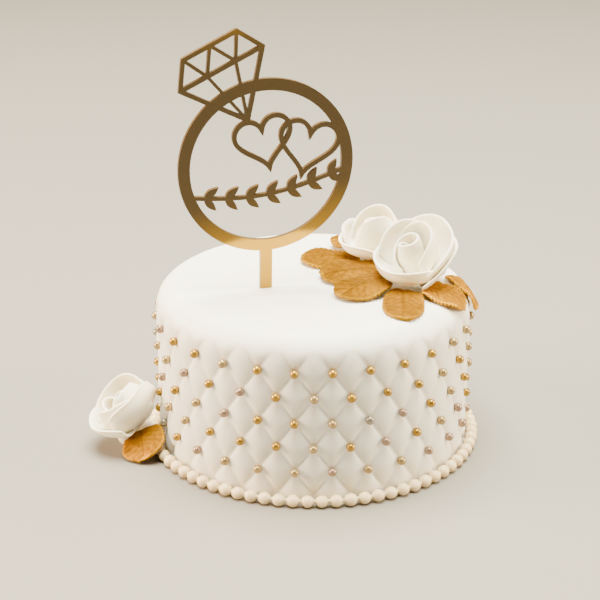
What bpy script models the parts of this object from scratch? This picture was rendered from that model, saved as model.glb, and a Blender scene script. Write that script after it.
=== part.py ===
"""Single-tier wedding cake: quilted fondant, pearl strand, sugar roses, gold leaves, ring topper.

Metres, +Z up. The origin is the middle of the cake's underside and -Y is its front.
Angles round the cake run from the front towards +X.
"""

import math
import random

import bmesh
import bpy
from mathutils import Matrix, Vector
from mathutils.geometry import delaunay_2d_cdt

MM = 0.001
TOUCH_GAP = 0.3 * MM
FINE_WELD = 0.002 * MM
COARSE_WELD = 0.2 * MM

# Cake body
CAKE_RADIUS = 110.0 * MM
CAKE_HEIGHT = 116.0 * MM
RIM_ROUNDING = 19.0 * MM

# Quilting pressed into the side, a lattice of diagonal grooves
QUILT_COLUMNS = 28
QUILT_START = math.radians(-0.45)
QUILT_ROW_PITCH = 17.6 * MM
TOP_ROW_HEIGHT = 92.6 * MM
QUILT_ROWS = 5
GROOVE_DEPTH = 2.0 * MM
GROOVE_SHARPNESS = 0.6
QUILT_FADE_LENGTH = 17.0 * MM
STEPS_PER_DIAMOND = 2
ROWS_ABOVE_TOP = 3

# Sugar pearls at the groove crossings
DRAGEE_RADIUS = 2.8 * MM
DRAGEE_CENTRE_RADIUS = CAKE_RADIUS - 0.2 * MM
DRAGEE_SEED = 28

# Moulded pearl strand round the foot of the cake
STRAND_BEADS = 76
BEAD_RADIUS = 4.0 * MM
STRAND_RADIUS = CAKE_RADIUS + 4.5 * MM
BEAD_CENTRE_HEIGHT = 4.1 * MM
BEAD_SIDES = 5
NECK_SHARE = 0.45

# Topper cut from one sheet, and how its stick stands in the cake
SHEET_THICKNESS = 3.0 * MM
TOPPER_PLACE = Vector((-32.6 * MM, -17.6 * MM, CAKE_HEIGHT))
TOPPER_LEAN = math.radians(3.0)
TOPPER_YAW = math.radians(16.0)
STICK_WIDTH = 8.3 * MM
STICK_DEPTH = 38.0 * MM
STICK_POINT = 6.0 * MM
RING_CENTRE = 87.3 * MM
RING_OUTER = 59.4 * MM
RING_BAND = 7.9 * MM
RING_SEGMENTS = 36
STICK_POINT_SHARE = 1.0 / 3.0

# Diamond outline above the ring, in the plane of the sheet
DIAMOND_TIP = Vector((-12.7 * MM, 119.6 * MM))
DIAMOND_TILT = math.radians(26.0)
DIAMOND_PAVILION = 39.0 * MM
DIAMOND_CROWN = 17.1 * MM
DIAMOND_HALF_GIRDLE = 29.9 * MM
DIAMOND_HALF_TABLE = 19.3 * MM
DIAMOND_FACET = 10.3 * MM
OUTLINE_BAR = 2.9 * MM
FACET_BAR = 2.2 * MM

# Two hearts and a laurel branch inside the ring, measured from the ring's centre
HEART_BAND = 3.2 * MM
HEART_POINTS = 16
HEART_FINE_STEPS = 200
HEARTS = (
    (Vector((-2.0 * MM, 18.5 * MM)), 38.0 * MM, math.radians(12.0)),
    (Vector((28.5 * MM, 13.0 * MM)), 40.0 * MM, math.radians(-12.0)),
)
BRANCH_LEFT = Vector((-52.0 * MM, -18.0 * MM))
BRANCH_RIGHT = Vector((55.0 * MM, -5.0 * MM))
BRANCH_SAG = 8.0 * MM
BRANCH_WIDTH = 2.6 * MM
BRANCH_SEGMENTS = 6
BRANCH_LEAVES = 7
BRANCH_BARE_START = 0.7
BRANCH_BARE_ENDS = 0.6
BRANCH_LEAF_LENGTH = 12.0 * MM
BRANCH_LEAF_WIDTH = 5.0 * MM
BRANCH_LEAF_ANGLE = math.radians(42.0)
BRANCH_LEAF_LOW = 0.28
BRANCH_LEAF_HIGH = 0.68
BRANCH_LEAF_NARROWING = 0.8
MITRE_LIMIT = 0.45

# Gold leaves: root, bend, tip and the way the upper side faces, then the width
LEAF_THICKNESS = 1.8 * MM
LEAF_LENGTH_STEPS = 6
LEAF_HALF_STEPS = 1
LEAF_WAVE = 1.2 * MM
LEAF_WAVE_TURNS = 9.0
LEAF_ARCH = 1.6 * MM
LEAF_WIDEST = 0.54
LEAF_FULLNESS = 2.8
LEAF_BLUNTNESS = 0.55
LEAF_ROOT_SHARE = 0.05
LEAF_TIP_SHARE = 0.98
LEAVES = (
    ("leaf_0", (36, 50, 119.5), (26, 60, 121.5), (16, 70, 121.5), (0, -0.1, 1), 20),
    ("leaf_1", (36, 31, 118), (14, 33, 119), (-9, 35, 118), (0, 0, 1), 37),
    ("leaf_2", (54, 2, 120.5), (29, 0, 121.5), (4, -4, 119), (0, -0.15, 1), 35),
    ("leaf_3", (52, -18, 122), (34, -29, 122.5), (16, -43, 118.5), (-0.1, -0.2, 1), 31),
    ("leaf_4", (61, -28, 118), (59, -52, 119), (57, -78, 115), (0, 0, 1), 28),
    ("leaf_5", (76, -32.5, 119.5), (91, -33.5, 120.5), (102.5, -36, 107.5), (0.1, 0, 1), 35),
    ("leaf_hanging", (90, -4, 118), (107.5, -8, 117.5), (112.5, -15.5, 97.5), (1, 0, 1), 20),
    ("leaf_base", (-120, -29, 13), (-118.5, -40, 13.5), (-115.5, -57, 3.5), (-0.42, 0, 0.9), 33),
)

# Sugar roses
PETAL_THICKNESS = 1.7 * MM
PETAL_ACROSS = 5
ROLL_START = 0.84
ROLL_LENGTH = 3.8 * MM
PETAL_ROWS = (0.0, ROLL_START / 2, ROLL_START, 1.0)
SHOULDER_DROP = 0.3
SHOULDER_POWER = 2.6
SPIRAL_SHIFT = 1.5 * MM
RIM_WAVE = 0.6 * MM
WAVE_ACROSS = 3.1
WAVE_AROUND = 7.0
FIRST_FOOT = 3.5 * MM
LAYER_STEP = 0.4 * MM
BULB_SIDES = 6


def remove_everything():
    """Start from an empty scene."""
    for thing in list(bpy.data.objects):
        bpy.data.objects.remove(thing, do_unlink=True)


def srgb(red, green, blue):
    """Linear colour from 0-255 display values."""
    linear = []
    for value in (red, green, blue):
        share = value / 255.0
        if share <= 0.04045:
            linear.append(share / 12.92)
        else:
            linear.append(((share + 0.055) / 1.055) ** 2.4)
    return (*linear, 1.0)


def make_material(name, colour, roughness, metallic):
    """One plain Principled material."""
    material = bpy.data.materials.new(name)
    material.use_nodes = True
    shader = material.node_tree.nodes["Principled BSDF"]
    shader.inputs["Base Color"].default_value = colour
    shader.inputs["Roughness"].default_value = roughness
    shader.inputs["Metallic"].default_value = metallic
    material.diffuse_color = colour
    return material


def make_object(name, points, faces, material):
    """A mesh object from points and face loops, its normals pointing outward."""
    mesh = bpy.data.meshes.new(name)
    mesh.from_pydata([tuple(point) for point in points], [], faces)
    build = bmesh.new()
    build.from_mesh(mesh)
    bmesh.ops.recalc_face_normals(build, faces=build.faces)
    build.to_mesh(mesh)
    build.free()
    if material is not None:
        mesh.materials.append(material)
    thing = bpy.data.objects.new(name, mesh)
    bpy.context.scene.collection.objects.link(thing)
    return thing


def apply_boolean(target, operation, pieces, merge):
    """Fuse or cut target with the pieces in one step, then drop the pieces."""
    group = bpy.data.collections.new(target.name + "_pieces")
    bpy.context.scene.collection.children.link(group)
    for piece in pieces:
        for holder in list(piece.users_collection):
            holder.objects.unlink(piece)
        group.objects.link(piece)
    modifier = target.modifiers.new("fuse", 'BOOLEAN')
    modifier.operation = operation
    modifier.operand_type = 'COLLECTION'
    modifier.collection = group
    bpy.context.view_layer.update()
    graph = bpy.context.evaluated_depsgraph_get()
    fused = bpy.data.meshes.new_from_object(target.evaluated_get(graph))
    target.modifiers.clear()
    target.data = fused
    for piece in pieces:
        bpy.data.objects.remove(piece, do_unlink=True)
    bpy.data.collections.remove(group)
    tidy_mesh(target, merge)


def joined_points(first):
    """Every point that edges join to the first one."""
    found = {first}
    waiting = [first]
    while waiting:
        point = waiting.pop()
        for edge in point.link_edges:
            other = edge.other_vert(point)
            if other not in found:
                found.add(other)
                waiting.append(other)
    return found


def fill_pockets(build):
    """Keep the outer skin, so that a pocket closed between petals becomes solid."""
    lowest = min(build.verts, key=lambda vert: vert.co.z)
    skin = joined_points(lowest)
    inner = [vert for vert in build.verts if vert not in skin]
    bmesh.ops.delete(build, geom=inner, context='VERTS')


def tidy_mesh(thing, merge):
    """Weld the slivers that fusing leaves."""
    build = bmesh.new()
    build.from_mesh(thing.data)
    bmesh.ops.remove_doubles(build, verts=build.verts, dist=merge)
    bmesh.ops.dissolve_degenerate(build, edges=build.edges, dist=merge)
    bmesh.ops.triangulate(build, faces=build.faces)
    fill_pockets(build)
    build.to_mesh(thing.data)
    build.free()


def ring_faces(rings, sides):
    """Quads between neighbouring rings of points, numbered ring after ring."""
    faces = []
    for ring in range(rings - 1):
        for side in range(sides):
            after = (side + 1) % sides
            low = ring * sides
            high = low + sides
            faces.append((low + side, low + after, high + after, high + side))
    return faces


def around(radius, angle, height):
    """A point round the cake; the angle runs from the front towards +X."""
    return Vector((radius * math.sin(angle), -radius * math.cos(angle), height))


def side_profile(length):
    """Radius, height and outward direction at a length up the side and over the rim."""
    straight = CAKE_HEIGHT - RIM_ROUNDING
    turn = max(0.0, (length - straight) / RIM_ROUNDING)
    if turn == 0.0:
        return CAKE_RADIUS, length, 1.0, 0.0
    radius = CAKE_RADIUS - RIM_ROUNDING * (1.0 - math.cos(turn))
    height = straight + RIM_ROUNDING * math.sin(turn)
    return radius, height, math.cos(turn), math.sin(turn)


def quilt_sink(column, length):
    """How far the grooves sink the surface at a column and a length up the side."""
    row = (TOP_ROW_HEIGHT - length) / QUILT_ROW_PITCH
    rising = column - 0.5 + 0.5 * row
    falling = column - 0.5 - 0.5 * row
    pillow = abs(math.sin(math.pi * rising) * math.sin(math.pi * falling)) ** GROOVE_SHARPNESS
    fade = (TOP_ROW_HEIGHT + QUILT_FADE_LENGTH - length) / QUILT_FADE_LENGTH
    return GROOVE_DEPTH * (1.0 - pillow) * min(1.0, max(0.0, fade))


def column_angle(column):
    """Angle round the cake of a quilting column."""
    return QUILT_START + column * math.tau / QUILT_COLUMNS


def make_cake_body(material):
    """The fondant skin: rings of points that follow the grooves of the quilting."""
    points_round = QUILT_COLUMNS * STEPS_PER_DIAMOND
    step = QUILT_ROW_PITCH / STEPS_PER_DIAMOND
    rim_end = CAKE_HEIGHT - RIM_ROUNDING + RIM_ROUNDING * math.pi / 2
    lengths = []
    shifts = []
    ring = -ROWS_ABOVE_TOP
    while TOP_ROW_HEIGHT - ring * step > 0.5 * step:
        lengths.append(TOP_ROW_HEIGHT - ring * step)
        shifts.append(0.5 + (ring % 2) * 0.5 / STEPS_PER_DIAMOND)
        ring += 1
    lengths = [rim_end] + lengths + [0.0]
    shifts = [shifts[1]] + shifts + [0.5 + (ring % 2) * 0.5 / STEPS_PER_DIAMOND]
    points = []
    for length, shift in zip(lengths, shifts):
        radius, height, out, up = side_profile(length)
        for index in range(points_round):
            column = shift + index / STEPS_PER_DIAMOND
            sink = quilt_sink(column, length)
            points.append(around(radius - sink * out, column_angle(column), height - sink * up))
    faces = []
    for ring in range(len(lengths) - 1):
        high = ring * points_round
        low = high + points_round
        shifted = shifts[ring + 1] > shifts[ring]
        for index in range(points_round):
            after = (index + 1) % points_round
            if shifted:
                faces.append((low + index, high + after, high + index))
                faces.append((low + index, low + after, high + after))
            else:
                faces.append((low + index, low + after, high + index))
                faces.append((low + after, high + after, high + index))
    faces.append(tuple(range(points_round)))
    last = (len(lengths) - 1) * points_round
    faces.append(tuple(range(last, last + points_round)))
    return make_object("cake", points, faces, material)


def dragee_places():
    """Centres of the sugar pearls, one at each groove crossing that is left free."""
    places = []
    for row in range(QUILT_ROWS):
        height = TOP_ROW_HEIGHT - row * QUILT_ROW_PITCH
        for column in range(QUILT_COLUMNS):
            shifted = column + (0.5 if row % 2 == 0 else 0.0)
            places.append(around(DRAGEE_CENTRE_RADIUS, column_angle(shifted), height))
    return places


def make_dragee(place, turn):
    """One sugar pearl as a small faceted ball."""
    build = bmesh.new()
    bmesh.ops.create_icosphere(build, subdivisions=1, radius=DRAGEE_RADIUS)
    bmesh.ops.rotate(build, verts=build.verts, matrix=Matrix.Rotation(turn, 3, 'Z'))
    bmesh.ops.translate(build, verts=build.verts, vec=place)
    mesh = bpy.data.meshes.new("dragee")
    build.to_mesh(mesh)
    build.free()
    ball = bpy.data.objects.new("dragee", mesh)
    bpy.context.scene.collection.objects.link(ball)
    return ball


def make_strand(material):
    """The pearl strand: one closed tube that swells into each bead."""
    rings = []
    for bead in range(STRAND_BEADS):
        rings.append((bead, NECK_SHARE))
        rings.append((bead + 0.5, 1.0))
    points = []
    for place, share in rings:
        angle = math.tau * place / STRAND_BEADS
        for side in range(BEAD_SIDES):
            turn = math.tau * side / BEAD_SIDES
            radius = STRAND_RADIUS + BEAD_RADIUS * share * math.cos(turn)
            height = BEAD_CENTRE_HEIGHT + BEAD_RADIUS * share * math.sin(turn)
            points.append(around(radius, angle, height))
    faces = ring_faces(len(rings), BEAD_SIDES)
    last = (len(rings) - 1) * BEAD_SIDES
    for side in range(BEAD_SIDES):
        after = (side + 1) % BEAD_SIDES
        faces.append((last + side, last + after, after, side))
    return make_object("pearl_strand", points, faces, material)


def distance_from_cake(point):
    """Signed distance from the plain rounded cake, and the way out of it."""
    flat = Vector((point.x, point.y, 0.0))
    radius = flat.length
    outward = flat / radius
    across = radius - (CAKE_RADIUS - RIM_ROUNDING)
    above = point.z - (CAKE_HEIGHT - RIM_ROUNDING)
    if across > 0.0 and above > 0.0:
        away = outward * across + Vector((0.0, 0.0, above))
        return away.length - RIM_ROUNDING, away.normalized()
    if across > above:
        return across - RIM_ROUNDING, outward
    return above - RIM_ROUNDING, Vector((0.0, 0.0, 1.0))


def lift_clear(point, clearance):
    """Move a point out until it is at least the clearance away from the cake."""
    distance, outward = distance_from_cake(point)
    if distance >= clearance:
        return point
    return point + outward * (clearance - distance)


def sheet_solid(grid, thickness):
    """Points and triangles of a thin closed sheet round a grid of middle points."""
    rows = len(grid)
    columns = len(grid[0])
    normals = []
    for row in range(rows):
        for column in range(columns):
            before = grid[row][max(0, column - 1)]
            after = grid[row][min(columns - 1, column + 1)]
            below = grid[max(0, row - 1)][column]
            above = grid[min(rows - 1, row + 1)][column]
            normals.append((after - before).cross(above - below).normalized())
    points = []
    for side in (0.5, -0.5):
        for index, normal in enumerate(normals):
            points.append(grid[index // columns][index % columns] + normal * side * thickness)
    under = rows * columns
    faces = []
    for row in range(rows - 1):
        for column in range(columns - 1):
            a = row * columns + column
            b = a + 1
            c = b + columns
            d = a + columns
            faces.append((a, b, c))
            faces.append((a, c, d))
            faces.append((under + a, under + c, under + b))
            faces.append((under + a, under + d, under + c))
    border = [(row, 0) for row in range(rows)]
    border += [(rows - 1, column) for column in range(1, columns)]
    border += [(row, columns - 1) for row in range(rows - 2, -1, -1)]
    border += [(0, column) for column in range(columns - 2, 0, -1)]
    loop = [row * columns + column for row, column in border]
    for index, a in enumerate(loop):
        b = loop[(index + 1) % len(loop)]
        faces.append((a, b, under + b))
        faces.append((a, under + b, under + a))
    return points, faces


def leaf_half_width(share):
    """Half the leaf's width, as a share of its widest, from root to tip."""
    reach = abs(share / LEAF_WIDEST - 1.0) if share < LEAF_WIDEST else 0.0
    if share > LEAF_WIDEST:
        reach = (share - LEAF_WIDEST) / (1.0 - LEAF_WIDEST)
    return (1.0 - reach ** LEAF_FULLNESS) ** LEAF_BLUNTNESS


def leaf_grid(root, bend, tip, face, width):
    """Middle points of a leaf along a bent line, wavy along its edges."""
    grid = []
    for step in range(LEAF_LENGTH_STEPS + 1):
        reach = step / LEAF_LENGTH_STEPS
        share = LEAF_ROOT_SHARE + (LEAF_TIP_SHARE - LEAF_ROOT_SHARE) * reach
        line = root.lerp(bend, share).lerp(bend.lerp(tip, share), share)
        along = (bend.lerp(tip, share) - root.lerp(bend, share)).normalized()
        sideways = along.cross(face).normalized()
        up = sideways.cross(along)
        half = 0.5 * width * leaf_half_width(share)
        row = []
        for side in range(-LEAF_HALF_STEPS, LEAF_HALF_STEPS + 1):
            place = side / LEAF_HALF_STEPS
            wave = LEAF_WAVE * abs(place) * math.sin(share * LEAF_WAVE_TURNS + place)
            rib = LEAF_ARCH * math.sin(math.pi * share) * (1.0 - abs(place))
            row.append(line + sideways * half * place + up * (wave + rib))
        grid.append(row)
    return grid


def make_leaf(name, root, bend, tip, face, width, material):
    """One gold sugar leaf that lies clear of the cake and of what it stands on."""
    grid = leaf_grid(
        Vector(root) * MM, Vector(bend) * MM, Vector(tip) * MM, Vector(face), width * MM
    )
    clearance = LEAF_THICKNESS / 2 + 2 * TOUCH_GAP
    grid = [[lift_clear(point, clearance) for point in row] for row in grid]
    for row in grid:
        for point in row:
            point.z = max(point.z, clearance)
    points, faces = sheet_solid(grid, LEAF_THICKNESS)
    return make_object(name, points, faces, material)


def stroke(points, width, closed):
    """Quads along a line in the plane, with mitred corners."""
    count = len(points)
    left = []
    right = []
    for index, point in enumerate(points):
        if closed:
            before = points[index - 1]
            after = points[(index + 1) % count]
        else:
            before = points[max(0, index - 1)]
            after = points[min(count - 1, index + 1)]
        first = (point - before).normalized() if (point - before).length > 0 else None
        second = (after - point).normalized() if (after - point).length > 0 else None
        first = first or second
        second = second or first
        along = (first + second).normalized()
        normal = Vector((-along.y, along.x))
        stretch = 1.0 / max(MITRE_LIMIT, normal.dot(Vector((-first.y, first.x))))
        left.append(point + normal * 0.5 * width * stretch)
        right.append(point - normal * 0.5 * width * stretch)
    last = count if closed else count - 1
    quads = []
    for index in range(last):
        after = (index + 1) % count
        quads.append([right[index], right[after], left[after], left[index]])
    return quads


def bar(start, end, width):
    """A straight bar whose ends reach half its width past the points."""
    along = (end - start).normalized()
    return stroke([start - along * 0.5 * width, end + along * 0.5 * width], width, False)


def heart_outline(centre, width, turn):
    """Even points round a heart: the usual sine and cosine curve, half after half."""
    half = []
    for index in range(HEART_FINE_STEPS + 1):
        angle = math.pi * index / HEART_FINE_STEPS
        x = 16.0 * math.sin(angle) ** 3
        y = 13.0 * math.cos(angle) - 5.0 * math.cos(2 * angle)
        y -= 2.0 * math.cos(3 * angle) + math.cos(4 * angle)
        half.append(Vector((x, y)) * width / 32.0)
    lengths = [0.0]
    for before, after in zip(half, half[1:]):
        lengths.append(lengths[-1] + (after - before).length)
    steps = HEART_POINTS // 2
    chosen = []
    for step in range(steps + 1):
        wanted = lengths[-1] * step / steps
        index = min(range(len(half)), key=lambda place: abs(lengths[place] - wanted))
        chosen.append(half[index])
    mirrored = [Vector((-point.x, point.y)) for point in reversed(chosen[1:-1])]
    points = []
    for point in chosen + mirrored:
        point = point.copy()
        point.rotate(Matrix.Rotation(turn, 2))
        points.append(centre + point)
    return points


def branch_line(share):
    """A point along the laurel's stem."""
    point = BRANCH_LEFT.lerp(BRANCH_RIGHT, share)
    return point - Vector((0.0, BRANCH_SAG * math.sin(math.pi * share)))


def branch_leaf(place, along, side):
    """A pointed leaf that grows from the stem."""
    direction = along.copy()
    direction.rotate(Matrix.Rotation(side * BRANCH_LEAF_ANGLE, 2))
    across = Vector((-direction.y, direction.x)) * BRANCH_LEAF_WIDTH / 2
    tip = place + direction * BRANCH_LEAF_LENGTH
    low = place + direction * BRANCH_LEAF_LENGTH * BRANCH_LEAF_LOW
    high = place + direction * BRANCH_LEAF_LENGTH * BRANCH_LEAF_HIGH
    narrow = across * BRANCH_LEAF_NARROWING
    return [place, low - across, high - narrow, tip, high + narrow, low + across]


def diamond_polygons():
    """Bars of the cut diamond: outline, girdle and facet lines."""
    upward = Vector((-math.sin(DIAMOND_TILT), math.cos(DIAMOND_TILT)))
    across = Vector((math.cos(DIAMOND_TILT), math.sin(DIAMOND_TILT)))
    tip = DIAMOND_TIP
    girdle = tip + upward * DIAMOND_PAVILION
    table = girdle + upward * DIAMOND_CROWN
    left = girdle - across * DIAMOND_HALF_GIRDLE
    right = girdle + across * DIAMOND_HALF_GIRDLE
    corner_left = table - across * DIAMOND_HALF_TABLE
    corner_right = table + across * DIAMOND_HALF_TABLE
    facet_left = girdle - across * DIAMOND_FACET
    facet_right = girdle + across * DIAMOND_FACET
    quads = stroke([tip, right, corner_right, corner_left, left], OUTLINE_BAR, True)
    quads += bar(left, right, OUTLINE_BAR)
    zigzag = [corner_left, facet_left, table, facet_right, corner_right]
    for start, end in zip(zigzag, zigzag[1:]):
        quads += bar(start, end, FACET_BAR)
    quads += bar(facet_left, tip, FACET_BAR)
    quads += bar(facet_right, tip, FACET_BAR)
    return quads


def topper_polygons():
    """Every flat shape of the topper, in the plane of the sheet."""
    centre = Vector((0.0, RING_CENTRE))
    middle = RING_OUTER - RING_BAND / 2
    ring = []
    for index in range(RING_SEGMENTS):
        angle = math.tau * index / RING_SEGMENTS
        ring.append(centre + Vector((math.sin(angle), -math.cos(angle))) * middle)
    polygons = stroke(ring, RING_BAND, True)
    half = STICK_WIDTH / 2
    top = RING_CENTRE - middle
    point_start = -STICK_DEPTH + STICK_POINT
    polygons.append([
        Vector((-half, point_start)),
        Vector((-half * STICK_POINT_SHARE, -STICK_DEPTH)),
        Vector((half * STICK_POINT_SHARE, -STICK_DEPTH)),
        Vector((half, point_start)),
        Vector((half, top)),
        Vector((-half, top)),
    ])
    polygons += diamond_polygons()
    for place, width, turn in HEARTS:
        polygons += stroke(heart_outline(centre + place, width, turn), HEART_BAND, True)
    stem = [centre + branch_line(index / BRANCH_SEGMENTS) for index in range(BRANCH_SEGMENTS + 1)]
    polygons += stroke(stem, BRANCH_WIDTH, False)
    for index in range(BRANCH_LEAVES):
        share = (index + BRANCH_BARE_START) / (BRANCH_LEAVES + BRANCH_BARE_ENDS)
        place = centre + branch_line(share)
        along = (branch_line(share + 0.01) - branch_line(share - 0.01)).normalized()
        for side in (1, -1):
            polygons.append(branch_leaf(place, along, side))
    return polygons


def flat_union(polygons):
    """Join overlapping flat polygons into one sheet of triangles."""
    points = []
    loops = []
    for polygon in polygons:
        loops.append(list(range(len(points), len(points) + len(polygon))))
        points.extend(polygon)
    found = delaunay_2d_cdt(points, [], loops, 1, 1e-6, True)
    joined_points = found[0]
    triangles = [face for face, origin in zip(found[2], found[5]) if origin]
    return joined_points, triangles


def make_topper(material):
    """The topper: one flat outline given the sheet's thickness."""
    flat_points, triangles = flat_union(topper_polygons())
    build = bmesh.new()
    front = [build.verts.new((point.x, -SHEET_THICKNESS / 2, point.y)) for point in flat_points]
    for triangle in triangles:
        build.faces.new([front[index] for index in triangle])
    loose = [vert for vert in build.verts if not vert.link_faces]
    bmesh.ops.delete(build, geom=loose, context='VERTS')
    bmesh.ops.dissolve_limit(
        build, angle_limit=math.radians(1.0), verts=build.verts, edges=build.edges
    )
    bmesh.ops.triangulate(build, faces=build.faces)
    sheet = bmesh.ops.extrude_face_region(build, geom=build.faces[:])
    moved = [item for item in sheet["geom"] if isinstance(item, bmesh.types.BMVert)]
    bmesh.ops.translate(build, verts=moved, vec=Vector((0.0, SHEET_THICKNESS, 0.0)))
    bmesh.ops.recalc_face_normals(build, faces=build.faces)
    mesh = bpy.data.meshes.new("topper")
    build.to_mesh(mesh)
    build.free()
    mesh.materials.append(material)
    topper = bpy.data.objects.new("topper", mesh)
    bpy.context.scene.collection.objects.link(topper)
    topper.location = TOPPER_PLACE
    topper.rotation_euler = (TOPPER_LEAN, 0.0, TOPPER_YAW)
    return topper


def make_stick_cutter():
    """A block that cuts the slot for the topper's stick."""
    half_width = STICK_WIDTH / 2 + TOUCH_GAP
    half_thickness = SHEET_THICKNESS / 2 + TOUCH_GAP
    bottom = -STICK_DEPTH - TOUCH_GAP
    top = 10.0 * MM
    points = []
    for height in (bottom, top):
        for x, y in ((-1, -1), (1, -1), (1, 1), (-1, 1)):
            points.append((x * half_width, y * half_thickness, height))
    faces = ring_faces(2, 4) + [(0, 1, 2, 3), (4, 5, 6, 7)]
    cutter = make_object("slot", points, faces, None)
    cutter.location = TOPPER_PLACE
    cutter.rotation_euler = (TOPPER_LEAN, 0.0, TOPPER_YAW)
    return cutter


class Petal:
    """One petal of a rose, in the rose's own frame: angles in degrees, sizes in millimetres."""

    def __init__(self, azimuth, half_angle, rim, height, belly, roll):
        self.azimuth = math.radians(azimuth)
        self.half_angle = math.radians(half_angle)
        self.rim = rim * MM
        self.height = height * MM
        self.belly = belly * MM
        self.roll = math.radians(roll)

    def point(self, across, along, layer):
        """Middle surface: across runs -1 to 1, along runs from foot to rim."""
        foot = FIRST_FOOT + layer * LAYER_STEP
        share = min(1.0, along / ROLL_START)
        rounded = 1.0 - SHOULDER_DROP * abs(across) ** SHOULDER_POWER
        radius = foot + (self.rim - foot) * share + self.belly * 4.0 * share * (1.0 - share)
        radius += SPIRAL_SHIFT * across * share
        height = foot + self.height * rounded * share
        ripple = math.sin(WAVE_ACROSS * across + WAVE_AROUND * self.azimuth)
        height += RIM_WAVE * ripple * share ** 2
        rolled = max(0.0, along - ROLL_START) / (1.0 - ROLL_START)
        if rolled > 0.0:
            lean = math.atan2(self.rim - foot - 4.0 * self.belly, self.height)
            turn = self.roll * rolled
            reach = ROLL_LENGTH * rolled / turn
            radius += reach * (math.cos(lean) - math.cos(lean + turn))
            height += reach * (math.sin(lean + turn) - math.sin(lean))
        return around(radius, self.azimuth + across * self.half_angle, height)

    def grid(self, layer):
        """Rows of middle points from foot to rim."""
        rows = []
        for along in PETAL_ROWS:
            rows.append([
                self.point(2.0 * column / PETAL_ACROSS - 1.0, along, layer)
                for column in range(PETAL_ACROSS + 1)
            ])
        return rows


def bulb_points(radii):
    """A turned body from pairs of radius and height in millimetres."""
    points = []
    for radius, height in radii:
        for side in range(BULB_SIDES):
            points.append(around(radius * MM, math.tau * side / BULB_SIDES, height * MM))
    faces = ring_faces(len(radii), BULB_SIDES)
    faces.append(tuple(range(BULB_SIDES)))
    last = (len(radii) - 1) * BULB_SIDES
    faces.append(tuple(range(last, last + BULB_SIDES)))
    return points, faces


def make_rose(name, foot, tilt_towards, tilt, lowest, petals, material):
    """A sugar rose: a bulb with petals fused to it, tilted and set on its foot."""
    place = Matrix.Translation(Vector(foot) * MM)
    axis = around(1.0, math.radians(tilt_towards) + math.pi / 2, 0.0)
    place = place @ Matrix.Rotation(math.radians(tilt), 4, axis)
    clearance = PETAL_THICKNESS / 2 + 2 * TOUCH_GAP

    def settle(point):
        """Place a point, keep it off the cake and above what the rose rests on."""
        world = lift_clear(place @ point, clearance)
        world.z = max(world.z, lowest + clearance)
        return world

    points, faces = bulb_points(BUD)
    rose = make_object(name, [settle(point) for point in points], faces, material)
    pieces = []
    for index, petal in enumerate(petals):
        grid = [[settle(point) for point in row] for row in petal.grid(index)]
        points, faces = sheet_solid(grid, PETAL_THICKNESS)
        pieces.append(make_object("petal", points, faces, None))
    apply_boolean(rose, 'UNION', pieces, FINE_WELD)
    return rose


BUD = ((5.5, 0), (9, 5), (9.5, 14), (7, 22), (3, 27))

# Name, foot, the way it tilts and how far, what its lowest petal may touch, its petals
ROSES = (
    ("rose_top_front", (69, -8, 118), 10, 22, CAKE_HEIGHT, (
        Petal(335, 80, 8, 26, 6.5, 10),
        Petal(120, 85, 17, 27, 5, 40),
        Petal(250, 75, 18, 25, 5, 50),
        Petal(340, 85, 24, 18, 6, 95),
        Petal(85, 75, 27, 20, 5, 35),
        Petal(190, 85, 25, 24, 4, 20),
    )),
    ("rose_top_back", (49, 38, 118), 300, 14, CAKE_HEIGHT, (
        Petal(10, 85, 13, 28, 8, 10),
        Petal(170, 85, 17, 28, 6, 20),
        Petal(300, 65, 25, 17, 6, 100),
        Petal(70, 70, 22, 18, 5, 40),
        Petal(250, 40, 21, 22, 5, 40),
    )),
    ("rose_base", (-118, -20, 15.5), 300, 42, 0.0, (
        Petal(300, 80, 10, 23, 6, 15),
        Petal(75, 75, 12, 25, 5, 10),
        Petal(195, 85, 25, 23, 7, 10),
        Petal(45, 80, 19, 25, 6, 15),
        Petal(302, 38, 28, 18, 3, 40),
        Petal(258, 50, 25, 22, 5, 25),
    )),
)


def main():
    """Build every piece of the cake."""
    remove_everything()
    fondant = make_material("fondant", srgb(240, 236, 228), 0.5, 0.0)
    pearl = make_material("pearl_strand", srgb(240, 230, 205), 0.3, 0.0)
    sugar = make_material("sugar_paste", srgb(243, 240, 233), 0.5, 0.0)
    gold_leaf = make_material("gold_leaf", srgb(222, 170, 80), 0.4, 0.2)
    mirror_gold = make_material("mirror_gold", srgb(190, 145, 75), 0.12, 1.0)

    make_topper(mirror_gold)
    make_strand(pearl)
    for name, root, bend, tip, face, width in LEAVES:
        make_leaf(name, root, bend, tip, face, width, gold_leaf)
    for name, foot, tilt_towards, tilt, lowest, petals in ROSES:
        make_rose(name, foot, tilt_towards, tilt, lowest, petals, sugar)

    cake = make_cake_body(fondant)
    apply_boolean(cake, 'DIFFERENCE', [make_stick_cutter()], FINE_WELD)
    draw = random.Random(DRAGEE_SEED)
    balls = [make_dragee(place, draw.uniform(0.0, math.tau)) for place in dragee_places()]
    apply_boolean(cake, 'UNION', balls, COARSE_WELD)


main()
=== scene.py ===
# %% [markdown]
# # A quilted wedding cake, piece by piece
# The cake is one round tier under rolled fondant. Its side is quilted, with a sugar pearl at
# each crossing, and a strand of cream pearls hides the joint at its foot. Three sugar roses
# with gold leaves decorate it, and a ring cut from gold mirror acrylic stands on top.
# The lesson starts from a plain solid model of the same cake, which gives every place and
# size. Each piece is then modelled finely over its plain solid, and gets a material made for
# what the real piece is.

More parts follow.
